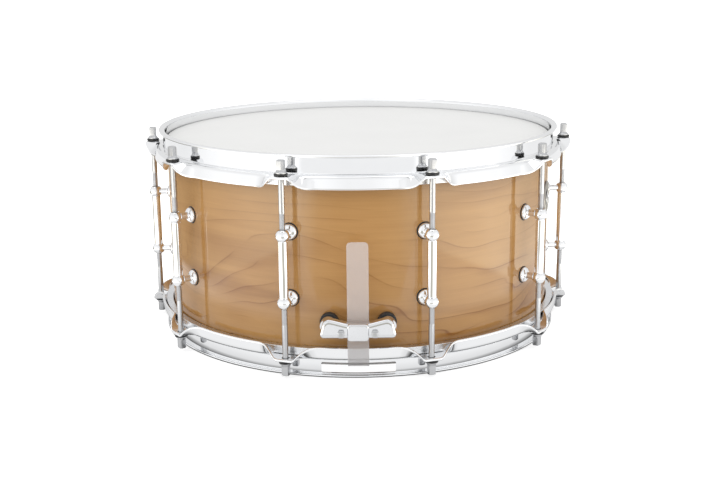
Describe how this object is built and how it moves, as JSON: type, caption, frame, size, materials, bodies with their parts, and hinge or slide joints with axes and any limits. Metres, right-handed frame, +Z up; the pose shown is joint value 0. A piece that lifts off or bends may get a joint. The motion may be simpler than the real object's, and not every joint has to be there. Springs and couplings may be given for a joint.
{
  "type": "snare drum",
  "caption": "Wooden snare drum with tube lugs, triple-flanged hoops, key rods, a strap butt plate, a throw-off strainer and wires under its lower head.",
  "frame": {"origin": "on the drum's axis, in the plane that the snare-side rim rests on", "axes": "+Z up through the batter head, -Y out through the butt plate, +Y out through the strainer"},
  "size_m": [0.395, 0.4048, 0.1835],
  "materials": {
    "maple_shell": "high-gloss clear lacquer over figured honey veneer",
    "chrome": "bright mirror plate",
    "machined_steel": "turned and milled",
    "wire_steel": "bright coiled wire",
    "badge_metal": "satin, blank",
    "flesh_hoop_alloy": "satin",
    "coated_head": "fine sprayed white coating",
    "clear_head": "thin hazy film",
    "strap_plastic": "milky translucent",
    "black_rubber": "matte",
    "black_nylon": "semi-gloss"
  },
  "bodies": {
    "drum": {"badge": "badge_metal", "batter_flesh_hoop": "flesh_hoop_alloy", "batter_head_film": "coated_head", "batter_hoop": "chrome", "butt_clamp_bar": "chrome", "butt_clamp_screw_left": "chrome", "butt_clamp_screw_right": "chrome", "butt_gasket_left": "black_rubber", "butt_gasket_right": "black_rubber", "butt_plate": "chrome", "butt_strap": "strap_plastic", "lever_pin": "machined_steel", "shell": "maple_shell", "snare_flesh_hoop": "flesh_hoop_alloy", "snare_head_film": "clear_head", "snare_side_hoop": "chrome", "strainer_body": "chrome", "strainer_gasket": "black_rubber", "tube_lug_01": "chrome", "tube_lug_02": "chrome", "tube_lug_03": "chrome", "tube_lug_04": "chrome", "tube_lug_05": "chrome", "tube_lug_06": "chrome", "tube_lug_07": "chrome", "tube_lug_08": "chrome", "tube_lug_09": "chrome", "tube_lug_10": "chrome", "vent_grommet": "chrome"},
    "batter_rod_01": {"batter_tension_rod_01": "chrome"},
    "batter_rod_02": {"batter_tension_rod_02": "chrome"},
    "batter_rod_03": {"batter_tension_rod_03": "chrome"},
    "batter_rod_04": {"batter_tension_rod_04": "chrome"},
    "batter_rod_05": {"batter_tension_rod_05": "chrome"},
    "batter_rod_06": {"batter_tension_rod_06": "chrome"},
    "batter_rod_07": {"batter_tension_rod_07": "chrome"},
    "batter_rod_08": {"batter_tension_rod_08": "chrome"},
    "batter_rod_09": {"batter_tension_rod_09": "chrome"},
    "batter_rod_10": {"batter_tension_rod_10": "chrome"},
    "snare_rod_01": {"snare_tension_rod_01": "chrome"},
    "snare_rod_02": {"snare_tension_rod_02": "chrome"},
    "snare_rod_03": {"snare_tension_rod_03": "chrome"},
    "snare_rod_04": {"snare_tension_rod_04": "chrome"},
    "snare_rod_05": {"snare_tension_rod_05": "chrome"},
    "snare_rod_06": {"snare_tension_rod_06": "chrome"},
    "snare_rod_07": {"snare_tension_rod_07": "chrome"},
    "snare_rod_08": {"snare_tension_rod_08": "chrome"},
    "snare_rod_09": {"snare_tension_rod_09": "chrome"},
    "snare_rod_10": {"snare_tension_rod_10": "chrome"},
    "throw_lever": {"throw_lever": "chrome"},
    "strap_carriage": {"strap_carriage": "machined_steel"},
    "tension_knob": {"tension_knob": "chrome"},
    "clamp_slide": {"clamp_slide": "chrome", "strainer_clamp_plate": "chrome", "strainer_clamp_screw_left": "chrome", "strainer_clamp_screw_right": "chrome", "strainer_strap": "strap_plastic"},
    "snare_wires": {"snare_wires": "wire_steel"}
  },
  "joints": [
    {"name": "batter_rod_01_turn", "type": "hinge", "parent": "drum", "child": "batter_rod_01", "pos_m": [0.05918, -0.18213, 0.1835], "axis": [0, 0, 1], "range_deg": [-180, 180]},
    {"name": "batter_rod_02_turn", "type": "hinge", "parent": "drum", "child": "batter_rod_02", "pos_m": [0.15493, -0.11256, 0.1835], "axis": [0, 0, 1], "range_deg": [-180, 180]},
    {"name": "batter_rod_03_turn", "type": "hinge", "parent": "drum", "child": "batter_rod_03", "pos_m": [0.1915, 0, 0.1835], "axis": [0, 0, 1], "range_deg": [-180, 180]},
    {"name": "batter_rod_04_turn", "type": "hinge", "parent": "drum", "child": "batter_rod_04", "pos_m": [0.15493, 0.11256, 0.1835], "axis": [0, 0, 1], "range_deg": [-180, 180]},
    {"name": "batter_rod_05_turn", "type": "hinge", "parent": "drum", "child": "batter_rod_05", "pos_m": [0.05918, 0.18213, 0.1835], "axis": [0, 0, 1], "range_deg": [-180, 180]},
    {"name": "batter_rod_06_turn", "type": "hinge", "parent": "drum", "child": "batter_rod_06", "pos_m": [-0.05918, 0.18213, 0.1835], "axis": [0, 0, 1], "range_deg": [-180, 180]},
    {"name": "batter_rod_07_turn", "type": "hinge", "parent": "drum", "child": "batter_rod_07", "pos_m": [-0.15493, 0.11256, 0.1835], "axis": [0, 0, 1], "range_deg": [-180, 180]},
    {"name": "batter_rod_08_turn", "type": "hinge", "parent": "drum", "child": "batter_rod_08", "pos_m": [-0.1915, 0, 0.1835], "axis": [0, 0, 1], "range_deg": [-180, 180]},
    {"name": "batter_rod_09_turn", "type": "hinge", "parent": "drum", "child": "batter_rod_09", "pos_m": [-0.15493, -0.11256, 0.1835], "axis": [0, 0, 1], "range_deg": [-180, 180]},
    {"name": "batter_rod_10_turn", "type": "hinge", "parent": "drum", "child": "batter_rod_10", "pos_m": [-0.05918, -0.18213, 0.1835], "axis": [0, 0, 1], "range_deg": [-180, 180]},
    {"name": "snare_rod_01_turn", "type": "hinge", "parent": "drum", "child": "snare_rod_01", "pos_m": [0.05918, -0.18213, 0], "axis": [0, 0, -1], "range_deg": [-180, 180]},
    {"name": "snare_rod_02_turn", "type": "hinge", "parent": "drum", "child": "snare_rod_02", "pos_m": [0.15493, -0.11256, 0], "axis": [0, 0, -1], "range_deg": [-180, 180]},
    {"name": "snare_rod_03_turn", "type": "hinge", "parent": "drum", "child": "snare_rod_03", "pos_m": [0.1915, 0, 0], "axis": [0, 0, -1], "range_deg": [-180, 180]},
    {"name": "snare_rod_04_turn", "type": "hinge", "parent": "drum", "child": "snare_rod_04", "pos_m": [0.15493, 0.11256, 0], "axis": [0, 0, -1], "range_deg": [-180, 180]},
    {"name": "snare_rod_05_turn", "type": "hinge", "parent": "drum", "child": "snare_rod_05", "pos_m": [0.05918, 0.18213, 0], "axis": [0, 0, -1], "range_deg": [-180, 180]},
    {"name": "snare_rod_06_turn", "type": "hinge", "parent": "drum", "child": "snare_rod_06", "pos_m": [-0.05918, 0.18213, 0], "axis": [0, 0, -1], "range_deg": [-180, 180]},
    {"name": "snare_rod_07_turn", "type": "hinge", "parent": "drum", "child": "snare_rod_07", "pos_m": [-0.15493, 0.11256, 0], "axis": [0, 0, -1], "range_deg": [-180, 180]},
    {"name": "snare_rod_08_turn", "type": "hinge", "parent": "drum", "child": "snare_rod_08", "pos_m": [-0.1915, 0, 0], "axis": [0, 0, -1], "range_deg": [-180, 180]},
    {"name": "snare_rod_09_turn", "type": "hinge", "parent": "drum", "child": "snare_rod_09", "pos_m": [-0.15493, -0.11256, 0], "axis": [0, 0, -1], "range_deg": [-180, 180]},
    {"name": "snare_rod_10_turn", "type": "hinge", "parent": "drum", "child": "snare_rod_10", "pos_m": [-0.05918, -0.18213, 0], "axis": [0, 0, -1], "range_deg": [-180, 180]},
    {"name": "lever_throw", "type": "hinge", "parent": "drum", "child": "throw_lever", "pos_m": [0, 0.194, 0.088], "axis": [-1, 0, 0], "range_deg": [0, 95]},
    {"name": "carriage_drop", "type": "slide", "parent": "drum", "child": "strap_carriage", "axis": [0, 0, -1], "range_m": [0, 0.0061], "deforming": ["strainer_strap"]},
    {"name": "knob_turn", "type": "hinge", "parent": "strap_carriage", "child": "tension_knob", "pos_m": [0, 0.1862, 0.1003], "axis": [0, 0, 1], "range_deg": [-540, 540]},
    {"name": "clamp_adjust", "type": "slide", "parent": "strap_carriage", "child": "clamp_slide", "axis": [0, 0, 1], "range_m": [-0.00104, 0.00104]},
    {"name": "wires_drop", "type": "hinge", "parent": "drum", "child": "snare_wires", "pos_m": [0, -0.152, 0.0058], "axis": [-1, 0, 0], "range_deg": [0, 0.31]}
  ],
  "couplings": [
    {"joint": "carriage_drop", "follows": "lever_throw", "m_per_rad": 0.0036187},
    {"joint": "wires_drop", "follows": "lever_throw", "ratio": 0.0031579},
    {"joint": "knob_turn", "follows": "clamp_adjust", "rad_per_m": 8976}
  ]
}
